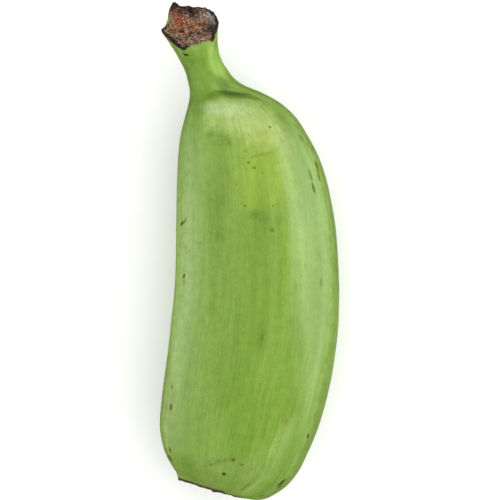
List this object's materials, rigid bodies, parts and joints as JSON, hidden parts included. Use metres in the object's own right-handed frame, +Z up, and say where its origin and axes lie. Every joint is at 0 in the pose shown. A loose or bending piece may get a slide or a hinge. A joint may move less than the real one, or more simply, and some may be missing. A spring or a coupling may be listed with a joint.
{
  "type": "plantain",
  "caption": "Short, stout green cooking plantain, gently curved and softly ridged, with a broken stalk and a corky blossom scar. It lies on its side.",
  "frame": {"origin": "centre of the bounding box in plan, on the surface that the fruit lies on", "axes": "+Y along the fruit towards its stalk, +X towards the outer side of its curve, +Z up as it lies on its side"},
  "size_m": [0.0684, 0.191, 0.0549],
  "materials": {
    "peel": "green waxy peel with a satin shine, grown in one piece with its stalk; dry brown at the break and the scar",
    "dry_stalk": "dry fibres that stand up from the broken stalk, tan to dark brown, dull"
  },
  "bodies": {
    "root": {"plantain": "peel"}
  },
  "joints": []
}
